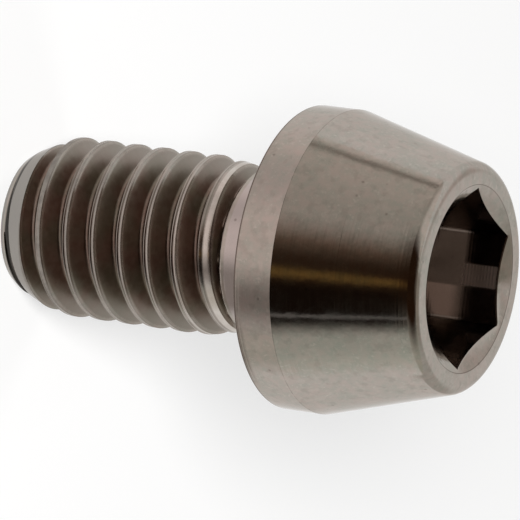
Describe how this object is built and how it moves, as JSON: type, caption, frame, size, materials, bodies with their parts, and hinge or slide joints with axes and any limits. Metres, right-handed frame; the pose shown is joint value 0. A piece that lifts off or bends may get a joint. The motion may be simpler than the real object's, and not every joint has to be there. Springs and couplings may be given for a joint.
{
  "type": "tapered-head socket cap screw",
  "caption": "Metric socket cap screw with a conical head that narrows to the drive end, hex socket, plain neck and short right-hand thread.",
  "frame": {"origin": "centre of the bearing face under the head, on the screw's axis", "axes": "+Z along the screw's axis from the thread towards the drive end; +X through a corner of the hex socket"},
  "size_m": [0.0098, 0.0098, 0.0159],
  "materials": {
    "bare_titanium": "turned and thread-rolled bare titanium, satin, warm grey"
  },
  "bodies": {
    "root": {"screw": "bare_titanium"}
  },
  "joints": []
}
